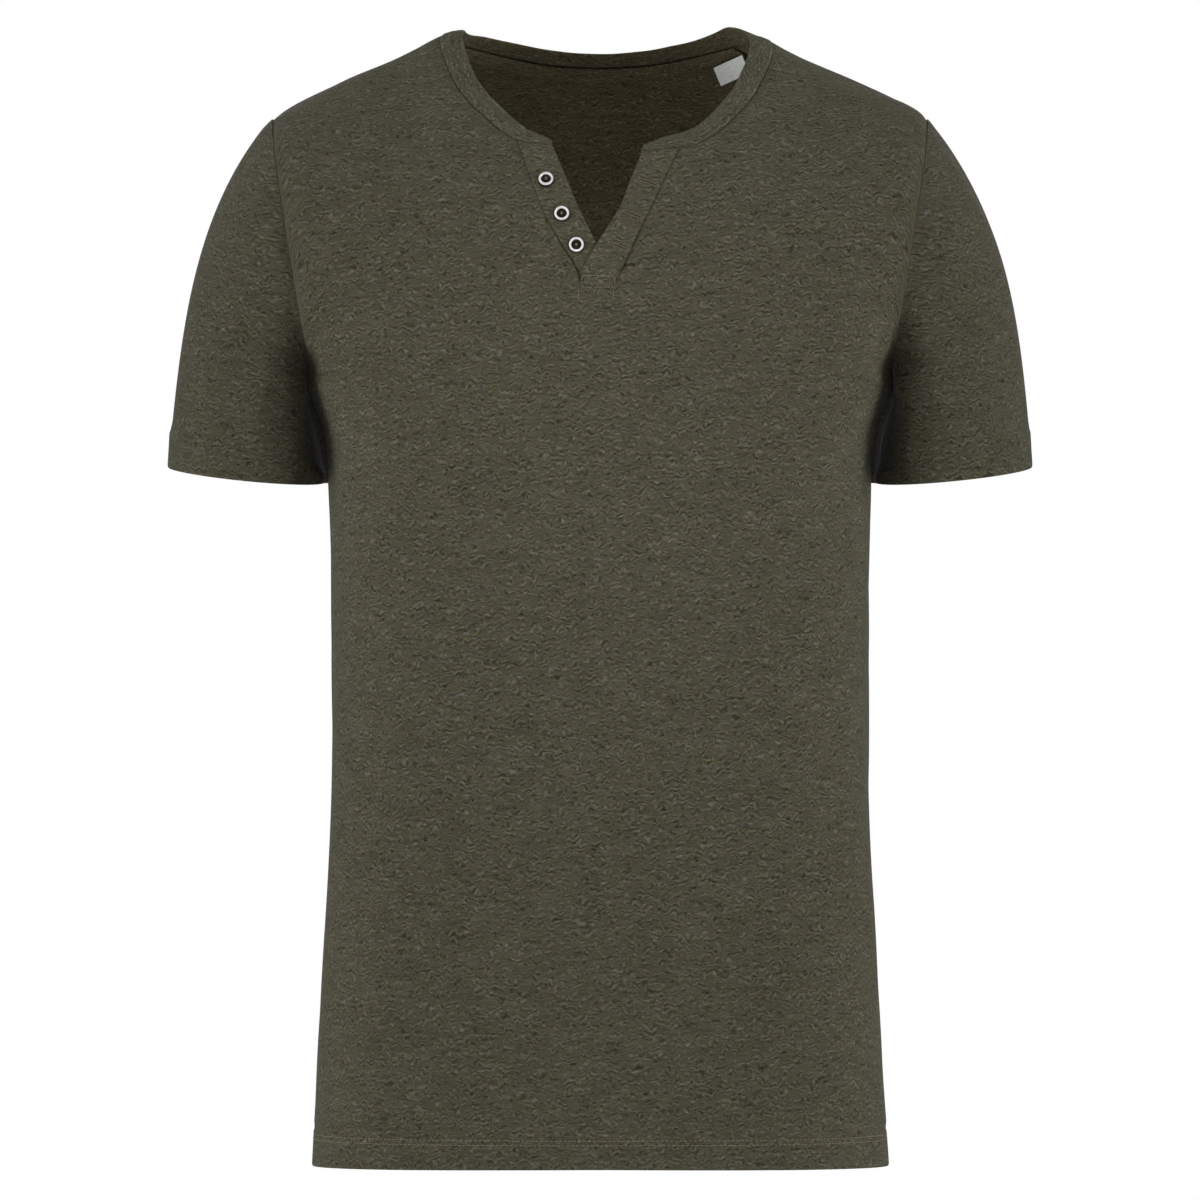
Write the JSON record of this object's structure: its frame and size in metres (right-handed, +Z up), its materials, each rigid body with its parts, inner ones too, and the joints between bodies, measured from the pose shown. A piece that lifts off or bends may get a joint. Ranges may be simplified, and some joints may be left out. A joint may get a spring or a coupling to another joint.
{
  "type": "henley shirt",
  "caption": "Short-sleeved henley shirt in olive heather jersey, hollow and in its worn form, with a round neckband, a short buttoned placket folded open and set-in sleeves.",
  "frame": {"origin": "between the two points where the shoulder seams meet the neckband, at the height of the neckband's top edge: the level at which the wearer's neck and shoulders hold the shirt", "axes": "+Z up, from the hem to the neck; -Y out of the chest; +X towards the wearer's left"},
  "size_m": [0.546, 0.2475, 0.718],
  "materials": {
    "jersey": "matte knitted jersey, dark olive heather",
    "tape": "matte jersey tape",
    "label": "matte woven label, bare",
    "pearl": "glossy, with a dark well in the middle"
  },
  "bodies": {
    "root": {"front": "jersey", "back": "jersey", "sleeve_left": "jersey", "sleeve_right": "jersey", "neckband": "jersey", "placket_over": "jersey", "placket_under": "jersey", "neck_tape": "tape", "size_label": "label", "button_1": "pearl", "button_2": "pearl", "button_3": "pearl"}
  },
  "joints": []
}
